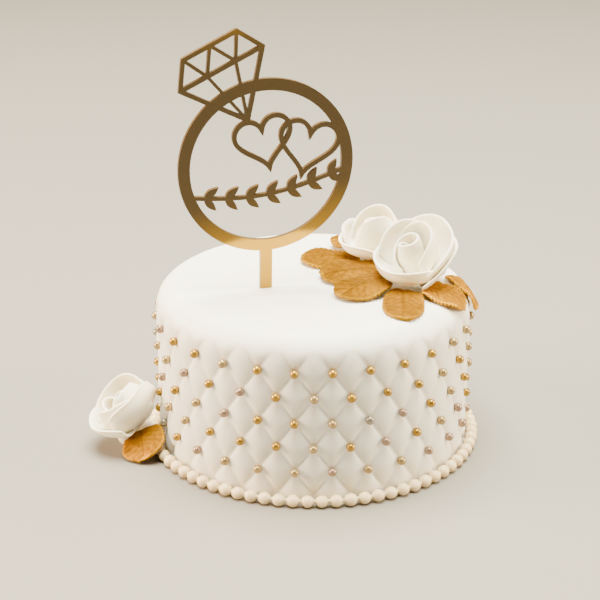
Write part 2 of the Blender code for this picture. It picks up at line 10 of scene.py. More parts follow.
# %% Load the plain model
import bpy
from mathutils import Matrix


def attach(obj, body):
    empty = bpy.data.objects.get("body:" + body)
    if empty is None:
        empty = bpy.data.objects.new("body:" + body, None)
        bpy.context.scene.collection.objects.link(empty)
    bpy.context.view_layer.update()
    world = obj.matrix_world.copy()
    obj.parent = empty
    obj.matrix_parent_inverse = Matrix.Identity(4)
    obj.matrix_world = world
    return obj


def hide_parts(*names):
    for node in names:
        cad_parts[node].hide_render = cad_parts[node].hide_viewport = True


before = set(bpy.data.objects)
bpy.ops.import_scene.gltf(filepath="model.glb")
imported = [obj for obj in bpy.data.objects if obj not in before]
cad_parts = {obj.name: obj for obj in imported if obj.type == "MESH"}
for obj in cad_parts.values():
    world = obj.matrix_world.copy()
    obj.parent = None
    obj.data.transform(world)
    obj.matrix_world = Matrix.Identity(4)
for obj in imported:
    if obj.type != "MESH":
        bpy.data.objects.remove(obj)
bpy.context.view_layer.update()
print("plain solids:", ", ".join(sorted(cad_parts)))

# %% Modules and units
import math
import random

import bmesh
import bpy
from mathutils import Matrix, Vector, noise
from mathutils.geometry import delaunay_2d_cdt

MM = 0.001
CAKE_RADIUS = 110 * MM
CAKE_HEIGHT = 116 * MM
RIM_ROUNDING = 19 * MM
print("the tier is", 2 * CAKE_RADIUS / MM, "mm across and", CAKE_HEIGHT / MM, "mm high")

# %% [markdown]
# ## Colours
# A colour picked from a screen is an sRGB hex value, but shaders count light linearly. One
# function turns the one into the other, so every colour below can be read as a web colour.
#
# Nothing made by hand has one flat colour or a perfectly smooth skin. Two more functions
# serve several finishes: one lets the colour wander in patches, the other adds fine relief.
# Both take a real size, and read object coordinates, which stay put on the piece.

# %% Colour and node helpers
PATCH_STOPS = (0.3, 0.7)


def colour(code):
    """Linear RGBA from an sRGB hex value."""
    shares = [int(code[place:place + 2], 16) / 255 for place in (1, 3, 5)]
    return (*[s / 12.92 if s <= 0.04045 else ((s + 0.055) / 1.055) ** 2.4 for s in shares], 1)


def add_node(tree, kind, links=None, **settings):
    """Add a node with its own options, and fill its sockets with values or other sockets."""
    made = tree.nodes.new(kind)
    for name, value in settings.items():
        setattr(made, name, value)
    for name, value in (links or {}).items():
        socket = made.inputs[name]
        if isinstance(value, bpy.types.NodeSocket):
            tree.links.new(value, socket)
        else:
            socket.default_value = value
    return made


def new_material(name, **sockets):
    """A material with its Principled shader's sockets set, returned with its node tree."""
    made = bpy.data.materials.new(name)
    made.use_nodes = True
    shader = made.node_tree.nodes["Principled BSDF"]
    for socket, value in sockets.items():
        shader.inputs[socket.replace("_", " ")].default_value = value
    return made, made.node_tree, shader


def mottle(tree, shader, patch, dull, bright):
    """Let the base colour wander between two colours, in patches of the given size."""
    place = add_node(tree, "ShaderNodeTexCoord").outputs["Object"]
    clouds = add_node(tree, "ShaderNodeTexNoise", {"Vector": place, "Scale": 1 / patch,
                                                   "Detail": 3.0})
    tint = add_node(tree, "ShaderNodeValToRGB", {"Fac": clouds.outputs["Fac"]})
    for stop, position, code in zip(tint.color_ramp.elements, PATCH_STOPS, (dull, bright)):
        stop.position = position
        stop.color = colour(code)
    tree.links.new(tint.outputs["Color"], shader.inputs["Base Color"])


def roughen(tree, shader, size, detail, strength, height):
    """Give the surface a fine uneven relief of the given size and height, as bump."""
    place = add_node(tree, "ShaderNodeTexCoord").outputs["Object"]
    noise_field = add_node(tree, "ShaderNodeTexNoise", {"Vector": place, "Scale": 1 / size,
                                                        "Detail": detail})
    bump = add_node(tree, "ShaderNodeBump", {"Height": noise_field.outputs["Fac"],
                                             "Strength": strength, "Distance": height})
    tree.links.new(bump.outputs["Normal"], shader.inputs["Normal"])


print("white fondant in linear light:", [round(part, 2) for part in colour("#f3f0ea")[:3]])

# %% [markdown]
# ## Rolled fondant
# Fondant is sugar paste rolled 4 mm thick and smoothed with cornflour. It has a satin skin:
# dull, with a faint wide shine, and light sinks about a millimetre or two into it and comes
# out again warmer. Subsurface scattering gives that softness. The pores and the marks of
# the smoother are far below a millimetre, so the grain here is drawn at 1.5 mm to show.

# %% Fondant material
GRAIN = 1.5 * MM
SMOOTHER_MARKS = 45 * MM
fondant, tree, shader = new_material(
    "rolled_fondant", Roughness=0.48, IOR=1.45,
    Subsurface_Weight=0.25, Subsurface_Scale=2.5 * MM, Subsurface_Radius=(1.0, 0.75, 0.5),
)
mottle(tree, shader, SMOOTHER_MARKS, "#efeadb", "#f3f0e3")
roughen(tree, shader, GRAIN, detail=2.0, strength=0.12, height=0.2 * MM)
print("made", fondant.name)

# %% [markdown]
# ## Turning a bmesh into a piece
# Each piece is built in a bmesh and ends as one object at the origin, so that its place is
# in its mesh and a pattern on object coordinates stays put. Seams and poles are merged
# before the faces are turned outwards, because an open seam can turn a shape inside out.

# %% Piece helpers
MERGE_DISTANCE = 0.01 * MM


def around(radius, angle, height):
    """A point round the cake; the angle runs from the front towards +X."""
    return Vector((radius * math.sin(angle), -radius * math.cos(angle), height))


def make_piece(build, name, material, replaced):
    """Close a bmesh's seams, point its faces outwards and hand it over as a finished piece."""
    bmesh.ops.remove_doubles(build, verts=build.verts, dist=MERGE_DISTANCE)
    bmesh.ops.recalc_face_normals(build, faces=build.faces)
    mesh = bpy.data.meshes.new(name)
    build.to_mesh(mesh)
    build.free()
    mesh.materials.append(material)
    mesh.shade_smooth()
    piece = bpy.data.objects.new(name, mesh)
    bpy.context.scene.collection.objects.link(piece)
    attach(piece, "root")
    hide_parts(replaced)
    return piece


def wander(point, size, seed):
    """A slow uneven number from -1 to 1 that changes over the given size."""
    return noise.noise(point / size + Vector((seed, seed, seed)))


print("helpers ready")

# %% [markdown]
# ## The quilted tier
# On the real cake a patchwork cutter presses a lattice of grooves into the soft fondant, so
# the paste between them swells into pillows. There are 28 pillows in a row, and the rows
# are 17.6 mm apart. The grooves fade out where the side rounds over to the top.
#
# One way is to cut grooves with a Boolean, but pressed paste has no sharp cuts. Here a
# profile is spun round the axis, and every second ring is turned by half a step, so the
# mesh edges themselves run diagonally, along the grooves. Then each point is pushed in by a
# formula: a product of two sines is zero along both families of diagonals.

# %% Quilting sizes
COLUMNS = 28
COLUMN_START = math.radians(-0.45)
ROW_PITCH = 17.6 * MM
TOP_ROW = 92.6 * MM
GROOVE_DEPTH = 3.0 * MM
GROOVE_SOFTNESS = 0.03
PILLOW_POWER = 0.55
FADE_LENGTH = 17 * MM
STEPS = 16
RING_STEP = ROW_PITCH / STEPS
RIM_END = CAKE_HEIGHT - RIM_ROUNDING + RIM_ROUNDING * math.pi / 2


def profile_point(length):
    """Radius, height and outward direction at a length up the side and over the rim."""
    straight = CAKE_HEIGHT - RIM_ROUNDING
    turn = max(0.0, (length - straight) / RIM_ROUNDING)
    radius = CAKE_RADIUS - RIM_ROUNDING * (1 - math.cos(turn))
    height = min(length, straight) + RIM_ROUNDING * math.sin(turn)
    return radius, height, math.cos(turn), math.sin(turn)


def groove(angle, length):
    """How far the quilting sinks at an angle round the cake and a length up its side."""
    column = (angle - COLUMN_START) * COLUMNS / math.tau
    row = (TOP_ROW - length) / ROW_PITCH
    rising = math.sin(math.pi * (column - 0.5 + 0.5 * row))
    falling = math.sin(math.pi * (column - 0.5 - 0.5 * row))
    soft = math.sqrt((rising * falling) ** 2 + GROOVE_SOFTNESS ** 2)
    pillow = min(1.0, soft ** PILLOW_POWER)
    fade = min(1.0, max(0.0, (TOP_ROW + FADE_LENGTH - length) / FADE_LENGTH))
    return GROOVE_DEPTH * (1 - pillow) * fade * fade * (3 - 2 * fade)


print("diamonds are", round(math.tau * CAKE_RADIUS / COLUMNS / MM, 1), "mm wide")

# %% Spin the profile
TOP_RINGS = 14
LOWEST_RING = math.floor(TOP_ROW / RING_STEP)
HIGHEST_RING = math.floor((RIM_END - TOP_ROW) / RING_STEP)
FLAT_RADIUS = CAKE_RADIUS - RIM_ROUNDING
build = bmesh.new()
quilted = build.verts.layers.int.new("quilted")
turned = build.verts.layers.int.new("turned")
up_side = build.verts.layers.float.new("up_side")
line = [build.verts.new((0, 0, 0)), build.verts.new((0, -CAKE_RADIUS, 0))]
for ring in range(-LOWEST_RING, HIGHEST_RING + 1):
    length = TOP_ROW + ring * RING_STEP
    radius, height = profile_point(length)[:2]
    line.append(build.verts.new((0, -radius, height)))
    line[-1][quilted] = 1
    line[-1][turned] = ring % 2
    line[-1][up_side] = length
for ring in range(TOP_RINGS + 1):
    line.append(build.verts.new((0, -FLAT_RADIUS * (1 - ring / TOP_RINGS), CAKE_HEIGHT)))
for low, high in zip(line, line[1:]):
    build.edges.new((low, high))
bmesh.ops.spin(
    build, geom=build.verts[:] + build.edges[:], axis=(0, 0, 1), cent=(0, 0, 0),
    steps=COLUMNS * STEPS, angle=math.tau, use_merge=True, use_duplicate=False,
)
bmesh.ops.remove_doubles(build, verts=build.verts, dist=MERGE_DISTANCE)
print("the spun tier has", len(build.faces), "faces")

# %% Turn every second ring and press the quilting
HALF_STEP = math.pi / (COLUMNS * STEPS)
UNEVEN = 0.3 * MM
SIDE_WAVE = 60 * MM
TOP_WAVE = 70 * MM
for vert in build.verts:
    flat = Vector((vert.co.x, vert.co.y, 0))
    angle = math.atan2(flat.x, -flat.y) + COLUMN_START + vert[turned] * HALF_STEP
    if vert[quilted]:
        radius, height, out, up = profile_point(vert[up_side])
        sink = groove(angle, vert[up_side])
        vert.co = around(radius - sink * out, angle, height - sink * up)
    elif flat.length > 0:
        vert.co = around(flat.length, angle, vert.co.z)
    share = vert.co.z / CAKE_HEIGHT
    outward = Vector((vert.co.x, vert.co.y, 0)) / CAKE_RADIUS
    vert.co += outward * UNEVEN * (wander(vert.co, SIDE_WAVE, seed=3) - 0.5)
    vert.co.z += share * UNEVEN * (wander(vert.co, TOP_WAVE, seed=8) - 0.5)
bmesh.ops.triangulate(build, faces=build.faces, quad_method='SHORT_EDGE')
tier = make_piece(build, "quilted_tier", fondant, "cake")
print("quilted tier:", len(tier.data.polygons), "triangles")

# %% [markdown]
# ## Sugar pearls
# Sugar pearls are balls of sugar 5 to 6 mm across, rolled in a drum with edible lustre dust.
# The dust is mica, so they shine like soft metal: a tight highlight with dark edges. It
# takes a little unevenly, in patches of about half a pearl. The real cake mixes gold,
# champagne, rose and silver ones at random, one pressed into each crossing.
#
# Every colour is one piece: small spheres made by an operator and moved into place. There
# are 140 pearls, so each gets only about a hundred faces, and smooth shading rounds them.

# %% Sugar pearl materials
PEARL_COLOURS = {
    "gold": ("#97752a", "#af8a2e", 0.65, 0.28),
    "champagne": ("#9b8454", "#b39a68", 0.6, 0.28),
    "rose": ("#8e755f", "#a68b73", 0.55, 0.3),
    "silver": ("#857e6b", "#9d9681", 0.6, 0.28),
}
MICA_PATCH = 2.5 * MM
pearl_materials = {}
for name, (dull, bright, metallic, roughness) in PEARL_COLOURS.items():
    made, tree, shader = new_material(
        "mica_dusted_sugar_" + name, Metallic=metallic, Roughness=roughness, IOR=1.5,
    )
    mottle(tree, shader, MICA_PATCH, dull, bright)
    pearl_materials[name] = made
print("pearl materials:", ", ".join(pearl_materials))

# %% Press a pearl into each crossing
PEARL_RADIUS = 3.0 * MM
PEARL_CENTRE_RADIUS = CAKE_RADIUS - 0.4 * MM
PEARL_ROWS = 5
PEARL_SLIP = 0.3 * MM
PEARL_SIZES = (0.95, 1.03)
PEARL_SEED = 28
PEARL_MIX = ("gold",) * 4 + ("champagne",) * 3 + ("rose",) * 3 + ("silver",)
draw = random.Random(PEARL_SEED)
pearl_places = {name: [] for name in PEARL_COLOURS}
for row in range(PEARL_ROWS):
    for column in range(COLUMNS):
        shifted = column + (0.5 if row % 2 == 0 else 0.0)
        angle = COLUMN_START + shifted * math.tau / COLUMNS
        centre = around(PEARL_CENTRE_RADIUS, angle, TOP_ROW - row * ROW_PITCH)
        centre += Vector([draw.uniform(-PEARL_SLIP, PEARL_SLIP) for axis in range(3)])
        pearl_places[draw.choice(PEARL_MIX)].append((centre, draw.uniform(*PEARL_SIZES)))
for name, places in pearl_places.items():
    build = bmesh.new()
    for centre, size in places:
        bmesh.ops.create_uvsphere(
            build, u_segments=14, v_segments=9, radius=PEARL_RADIUS * size,
            matrix=Matrix.Translation(centre),
        )
    make_piece(build, "sugar_pearls_" + name, pearl_materials[name], "cake")
    print(len(places), name, "sugar pearls")

# %% [markdown]
# ## The pearl strand at the foot
# The border is a strand of cream pearls that nearly touch, pressed in a silicone mould from
# sugar paste and laid round the foot. The pearls are a little longer along the strand, and a
# thin web of paste joins them. Stretched spheres and one thin ring make it. Pearl lustre
# brushed over them leaves a soft sheen under a thin clear coat.

# %% Pearl strand material
strand_material, tree, shader = new_material(
    "moulded_sugar_pearl", Roughness=0.3, IOR=1.5,
    Subsurface_Weight=0.3, Subsurface_Scale=2 * MM, Subsurface_Radius=(1.0, 0.7, 0.4),
    Coat_Weight=0.25, Coat_Roughness=0.2,
)
LUSTRE_PATCH = 5 * MM
mottle(tree, shader, LUSTRE_PATCH, "#e2c997", "#eed7a9")
print("made", strand_material.name)

# %% Lay the strand round the foot
STRAND_BEADS = 76
STRAND_RADIUS = CAKE_RADIUS + 4.5 * MM
BEAD_RADIUS = 4.1 * MM
BEAD_LENGTH_SHARE = 1.1
BEAD_HEIGHT = 4.15 * MM
BEAD_SIZES = (0.97, 1.02)
WEB_RADIUS = 1.5 * MM
build = bmesh.new()
for bead in range(STRAND_BEADS):
    angle = math.tau * (bead + 0.5) / STRAND_BEADS
    size = draw.uniform(*BEAD_SIZES)
    place = (
        Matrix.Translation(around(STRAND_RADIUS, angle, BEAD_HEIGHT * size))
        @ Matrix.Rotation(angle, 4, 'Z')
        @ Matrix.Diagonal((BEAD_LENGTH_SHARE * size, size, size, 1))
    )
    bmesh.ops.create_uvsphere(
        build, u_segments=16, v_segments=10, radius=BEAD_RADIUS, matrix=place
    )
web = bmesh.ops.create_circle(build, segments=10, radius=WEB_RADIUS)["verts"]
bmesh.ops.rotate(build, verts=web, matrix=Matrix.Rotation(math.pi / 2, 3, 'Y'))
bmesh.ops.translate(build, verts=web, vec=(0, -STRAND_RADIUS, BEAD_HEIGHT))
web_edges = [edge for edge in build.edges if edge.verts[0] in web and edge.verts[1] in web]
bmesh.ops.spin(
    build, geom=web + web_edges, axis=(0, 0, 1), cent=(0, 0, 0), steps=2 * STRAND_BEADS,
    angle=math.tau, use_merge=True, use_duplicate=False,
)
strand = make_piece(build, "border_pearls", strand_material, "pearl_strand")
print("border strand:", len(strand.data.polygons), "faces")

# %% [markdown]
# ## Sugar roses
# A sugar rose is built from thin discs of flower paste. Each disc is thinned at the edge with
# a ball tool, wrapped round a cone and curled back along its rim, and every layer opens
# wider than the one inside it. The paste dries matt and lets light through at the rims.
#
# A petal starts as a flat grid. One formula bends the grid round the flower's axis, gives it
# a belly, and rolls its rim outward on a small arc. Solidify gives the paste its thickness
# and a subdivision rounds the edges. Every petal is kept off the cake it leans on.

# %% Sugar paste material
paste, tree, shader = new_material(
    "dried_flower_paste", Roughness=0.6, IOR=1.45,
    Subsurface_Weight=0.4, Subsurface_Scale=4 * MM, Subsurface_Radius=(1.0, 0.65, 0.4),
)
PASTE_CLOUDS = 18 * MM
PASTE_STREAKS = 2.5 * MM
mottle(tree, shader, PASTE_CLOUDS, "#f1e8d2", "#f6f0de")
roughen(tree, shader, PASTE_STREAKS, detail=4.0, strength=0.15, height=0.4 * MM)
print("made", paste.name)

# %% Keeping clear of the cake


def lift_clear(point, clearance):
    """Move a point out until it is at least the clearance away from the rounded tier."""
    flat = Vector((point.x, point.y, 0))
    outward = flat.normalized()
    across = flat.length - FLAT_RADIUS
    above = point.z - (CAKE_HEIGHT - RIM_ROUNDING)
    if across > 0 and above > 0:
        outward = (outward * across + Vector((0, 0, above))).normalized()
        distance = math.hypot(across, above) - RIM_ROUNDING
    elif across > above:
        distance = across - RIM_ROUNDING
    else:
        distance = above - RIM_ROUNDING
        outward = Vector((0, 0, 1))
    return point + outward * max(0.0, clearance - distance)


print("a point inside the rim moves to", [round(c / MM) for c in lift_clear(
    Vector((0.1, 0, 0.11)), 0.001)], "mm")

# %% One petal
PASTE_THICKNESS = 1.6 * MM
ROLL_START = 0.84
ROLL_LENGTH = 3.8 * MM
SHOULDER_DROP = 0.42
SHOULDER_POWER = 2.6
RIM_WAVE = 1.2 * MM
WAVE_ACROSS = 3.1
WAVE_AROUND = 7.0
FIRST_FOOT = 3.5 * MM
LAYER_STEP = 0.4 * MM
FIRST_LEVEL = 2.5 * MM
LAYER_RISE = 0.3 * MM
CRUMPLE = 1.6 * MM
CRUMPLE_SIZE = 22 * MM
CRUMPLE_RISE = 0.3


def petal_point(across, along, petal, layer):
    """A point of a petal: across runs -1 to 1, along runs 0 to 1 from foot to rim."""
    azimuth, half_angle, rim, height, belly, roll, spiral = petal
    azimuth = math.radians(azimuth)
    foot = FIRST_FOOT + layer * LAYER_STEP
    share = min(1.0, along / ROLL_START)
    rounded = 1 - SHOULDER_DROP * abs(across) ** SHOULDER_POWER
    radius = foot + (rim * MM - foot) * share + belly * MM * 4 * share * (1 - share)
    radius += spiral * MM * across * share
    level = FIRST_LEVEL + layer * LAYER_RISE
    level += (height * rounded - spiral * across) * MM * share
    level += RIM_WAVE * math.sin(WAVE_ACROSS * across + WAVE_AROUND * azimuth) * share ** 2
    rolled = max(0.0, along - ROLL_START) / (1 - ROLL_START)
    if rolled > 0:
        lean = math.atan2(rim * MM - foot - 4 * belly * MM, height * MM)
        turn = math.radians(roll) * rolled
        reach = ROLL_LENGTH * rolled / turn
        radius += reach * (math.cos(lean) - math.cos(lean + turn))
        level += reach * (math.sin(lean + turn) - math.sin(lean))
    point = around(radius, azimuth + across * math.radians(half_angle), level)
    uneven = CRUMPLE * share * wander(point, CRUMPLE_SIZE, seed=5 * layer + 11)
    return point + around(uneven, azimuth, CRUMPLE_RISE * uneven)


print("a petal's rim is at", [round(c / MM) for c in petal_point(
    0, 1, (0, 80, 20, 26, 6, 40, 1.5), 2)], "mm")

# %% A whole rose
PETAL_STEP = 6.0
PETAL_GRID_ALONG = 16
REST_GAP = 0.6 * MM


def make_rose(name, node, foot, tilt_towards, tilt, lowest, petals):
    """Petals bent from grids, wrapped layer by layer round one tilted axis."""
    axis = around(1, math.radians(tilt_towards) + math.pi / 2, 0)
    stand = Matrix.Translation(Vector(foot) * MM)
    stand = stand @ Matrix.Rotation(math.radians(tilt), 4, axis)
    clearance = PASTE_THICKNESS / 2 + REST_GAP
    build = bmesh.new()
    for layer, petal in enumerate(petals):
        grid = bmesh.ops.create_grid(
            build, x_segments=round(2 * petal[1] / PETAL_STEP), y_segments=PETAL_GRID_ALONG,
            size=1,
        )["verts"]
        for vert in grid:
            bent = petal_point(vert.co.x, (vert.co.y + 1) / 2, petal, layer)
            vert.co = lift_clear(stand @ bent, clearance)
            vert.co.z = max(vert.co.z, lowest + clearance)
    rose = make_piece(build, name, paste, node)
    wall = rose.modifiers.new("paste thickness", 'SOLIDIFY')
    wall.thickness = PASTE_THICKNESS
    wall.offset = 0
    soft = rose.modifiers.new("rounded edges", 'SUBSURF')
    soft.levels = soft.render_levels = 1
    return rose


print("each petal has", PETAL_GRID_ALONG, "rows of faces from foot to rim")

# %% [markdown]
# The table gives each petal its direction, half its spread, the radius of its rim, its
# height, its belly, how far the rim rolls back and how much it spirals, from the tight bud
# outward. The front rose leans towards the guests, the back one leans away from it, and the
# one at the foot lies against the side with its open face up and out.

# %% The three roses
ROSES = {
    "sugar_rose_front": ("rose_top_front", (71, -6, 118), 325, 25, CAKE_HEIGHT, (
        (60, 265, 8.2, 29, 3.0, 8, 4.0),
        (110, 95, 18, 31, 6, 20, 1.5),
        (312, 108, 24, 21.5, 6.5, 80, 1.5),
        (100, 82, 30.5, 27, 5.5, 25, 1.5),
        (185, 60, 21, 28, 4, 20, 1.5),
        (70, 62, 31, 17, 5, 40, 1.5),
    )),
    "sugar_rose_back": ("rose_top_back", (49, 38, 118), 300, 14, CAKE_HEIGHT, (
        (200, 265, 5.8, 24, 2.6, 5, 3.0),
        (5, 68, 16, 31, 6, 12, 0.5),
        (170, 85, 17, 26, 6, 20, 1.5),
        (300, 65, 25, 17, 6, 100, 1.5),
        (70, 70, 22, 18, 5, 40, 1.5),
        (250, 40, 21, 22, 5, 60, 1.5),
    )),
    "sugar_rose_foot": ("rose_base", (-120, -21, 13.5), 285, 38, 0.0, (
        (120, 265, 6.4, 23, 2.8, 5, 3.4),
        (280, 80, 12, 25, 6, 25, 1.5),
        (75, 85, 14, 27, 6, 15, 1.5),
        (350, 80, 18, 27, 7, 30, 2.0),
        (190, 80, 22, 25, 6, 20, 1.5),
        (290, 65, 25, 21, 6, 70, 1.5),
        (40, 70, 22, 24, 6, 25, 1.5),
    )),
}
for name, settings in ROSES.items():
    rose = make_rose(name, *settings)
    print(name, "has", len(settings[-1]), "petals and", len(rose.data.polygons), "faces")

# %% [markdown]
# A sugar flower at the foot of a cake is held by a dab of royal icing, which is white and
# sets hard. It fills the space between the rose, the side of the cake and the board, and
# hides behind the rose and its leaf. A squashed sphere is close enough to its shape.

# %% Royal icing under the rose at the foot
ICING_PLACE = Vector((-124 * MM, -21 * MM, 6.3 * MM))
ICING_SIZE = Vector((15 * MM, 16 * MM, 7.5 * MM))
ICING_LUMPS = 1.2 * MM
ICING_LUMP_SIZE = 9 * MM
ICING_GAP = 0.2 * MM
ICING_FLOOR = 0.3 * MM
build = bmesh.new()
bmesh.ops.create_uvsphere(build, u_segments=32, v_segments=20, radius=1)
bmesh.ops.scale(build, verts=build.verts, vec=ICING_SIZE)
bmesh.ops.translate(build, verts=build.verts, vec=ICING_PLACE)
for vert in build.verts:
    vert.co += vert.normal * ICING_LUMPS * wander(vert.co, ICING_LUMP_SIZE, seed=4)
    vert.co = lift_clear(vert.co, ICING_GAP)
    vert.co.z = max(vert.co.z, ICING_FLOOR)
icing = make_piece(build, "royal_icing_dab", paste, "rose_base")
print("icing dab:", len(icing.data.polygons), "faces")

# %% [markdown]
# ## Gold leaves
# The leaves are cut from sugar paste with a leaf cutter and pressed in a veiner, which leaves
# a midrib, side veins and notches along the edge. Dry, they are brushed with gold lustre
# dust, so they shine softly. The colour is painted darker in the veins as painted shade in the
# dents, and lighter along the edges as painted light shining through the thin paste.
#
# A grid is bent along the leaf's curve. The veins are real dents of a third of a
# millimetre, and the same numbers are stored on the points, so the painted shade can follow
# the veins and the painted light the edge. A third number is painted light for the whole
# leaf: it scales each leaf's colour, so the leaves that lie in shade are painted lighter.

# %% Gold lustre material
lustre, tree, shader = new_material(
    "gold_dusted_paste", Metallic=0.4, Roughness=0.42, IOR=1.45, Specular_IOR_Level=0.0,
)
# Numbers stored on the leaf's points: painted shade in the veins, painted light along the edge
# and over the whole leaf.
vein_shade = add_node(tree, "ShaderNodeAttribute", attribute_name="vein_shade")
edge = add_node(tree, "ShaderNodeAttribute", attribute_name="edge")
painted_light = add_node(tree, "ShaderNodeAttribute", attribute_name="painted_light")
place = add_node(tree, "ShaderNodeTexCoord").outputs["Object"]
BRUSH_STREAK = 3 * MM
streaks = add_node(tree, "ShaderNodeTexNoise", {"Vector": place, "Scale": 1 / BRUSH_STREAK,
                                                "Detail": 5.0, "Roughness": 0.6})
tint = add_node(tree, "ShaderNodeValToRGB", {"Fac": streaks.outputs["Fac"]})
for stop, position, code in zip(tint.color_ramp.elements, PATCH_STOPS, ("#5f3b02", "#8d6004")):
    stop.position = position
    stop.color = colour(code)
# A Mix node has number, vector and colour sockets of the same names, so its colour sockets
# go by their place in the list.
MIX_A, MIX_B, MIXED = 6, 7, 2
# Painted shade: the colour darkens in the vein dents.
painted_vein_shade = add_node(
    tree, "ShaderNodeMix", {0: vein_shade.outputs["Fac"], MIX_A: tint.outputs["Color"],
                            MIX_B: colour("#543403")}, data_type='RGBA',
)
# Painted light: the colour lightens along the edge, as if light shone through the thin paste.
painted_edge_light = add_node(
    tree, "ShaderNodeMix", {0: edge.outputs["Fac"], MIX_A: painted_vein_shade.outputs[MIXED],
                            MIX_B: colour("#946a08")}, data_type='RGBA',
)
# Painted light: each leaf's colour is scaled by its own share, more for the leaves in shade.
painted_light_colour = add_node(
    tree, "ShaderNodeVectorMath", {0: painted_edge_light.outputs[MIXED], "Scale": painted_light.outputs["Fac"]},
    operation='SCALE',
)
tree.links.new(painted_light_colour.outputs["Vector"], shader.inputs["Base Color"])
bump = add_node(tree, "ShaderNodeBump", {"Height": streaks.outputs["Fac"], "Strength": 0.2,
                                         "Distance": 0.3 * MM})
tree.links.new(bump.outputs["Normal"], shader.inputs["Normal"])
print("made", lustre.name)

# %% Leaf shape
LEAF_THICKNESS = 1.7 * MM
LEAF_WAVE = 1.2 * MM
LEAF_WAVE_TURNS = 9.0
LEAF_ARCH = 1.6 * MM
LEAF_WIDEST = 0.54
LEAF_FULLNESS = 2.8
LEAF_BLUNTNESS = 0.64
LEAF_ROOT_SHARE = 0.05
LEAF_TIP_SHARE = 0.98
NOTCHES = 13
NOTCH_DEPTH = 0.1
NOTCH_REACH = 6
VEIN_DEPTH = 0.35 * MM
VEIN_WIDTH = 0.7 * MM
# How dark the painted shade in the veins is.
VEIN_SHADE = 0.6
SIDE_VEIN_SHARE = 0.7
SIDE_VEINS = 8
VEIN_SLANT = 0.22
# Where the painted light along the edge starts, as a share of the way out.
EDGE_LIGHT_START = 0.86


def leaf_half_width(share):
    """Half the leaf's width, as a share of its widest, from root to tip."""
    if share < LEAF_WIDEST:
        reach = 1 - share / LEAF_WIDEST
    else:
        reach = (share - LEAF_WIDEST) / (1 - LEAF_WIDEST)
    return (1 - reach ** LEAF_FULLNESS) ** LEAF_BLUNTNESS


def leaf_vein(share, across, half, length):
    """How deep the veiner presses, 0 to 1, at a place on the leaf."""
    midrib = math.exp(-(across * half / VEIN_WIDTH) ** 2)
    phase = (share - VEIN_SLANT * abs(across)) * SIDE_VEINS
    away = abs(phase - round(phase)) / SIDE_VEINS * length
    return max(midrib, SIDE_VEIN_SHARE * math.exp(-(away / VEIN_WIDTH) ** 2))


print("widest share:", round(leaf_half_width(LEAF_WIDEST), 2))

# %% [markdown]
# The table gives each leaf its root, the point it bends towards, its tip, the way it faces,
# its width and its painted light, a share of its colour where 1 leaves it as it is; the
# leaves lying in shade get more. The leaves on top fan out from under the two roses, one
# hangs over the rim, and one lies under the rose at the foot.

# %% Bend a grid into each leaf
LEAF_GRID_ACROSS = 28
LEAF_GRID_ALONG = 64
# The last number of each leaf is its painted light, which scales its colour.
LEAVES = (
    ("leaf_0", (36, 50, 119.5), (26, 60, 121.5), (16, 70, 121.5), (0, -0.1, 1), 20, 1.0),
    ("leaf_1", (36, 31, 118), (14, 33, 119), (-9, 35, 118), (0, 0, 1), 37, 1.0),
    ("leaf_2", (54, 2, 120.5), (29, 0, 121.5), (4, -4, 119), (0, -0.15, 1), 35, 0.85),
    ("leaf_3", (52, -18, 122), (34, -29, 122.5), (16, -43, 118.5), (-0.1, -0.2, 1), 31,
     0.9),
    ("leaf_4", (61, -28, 118), (59, -52, 119), (57, -78, 115), (0, 0, 1), 28, 0.95),
    ("leaf_5", (71, -32.5, 119.5), (89, -33.5, 121), (102.5, -36, 107.5), (0.1, 0, 1), 35,
     1.8),
    ("leaf_hanging", (90, -4, 118), (107.5, -8, 117.5), (112.5, -15.5, 97.5), (1, 0, 1), 20,
     2.0),
    ("leaf_base", (-120, -29, 13), (-118.5, -40, 13.5), (-115.5, -57, 3.5),
     (-0.42, 0, 0.9), 33, 1.4),
)


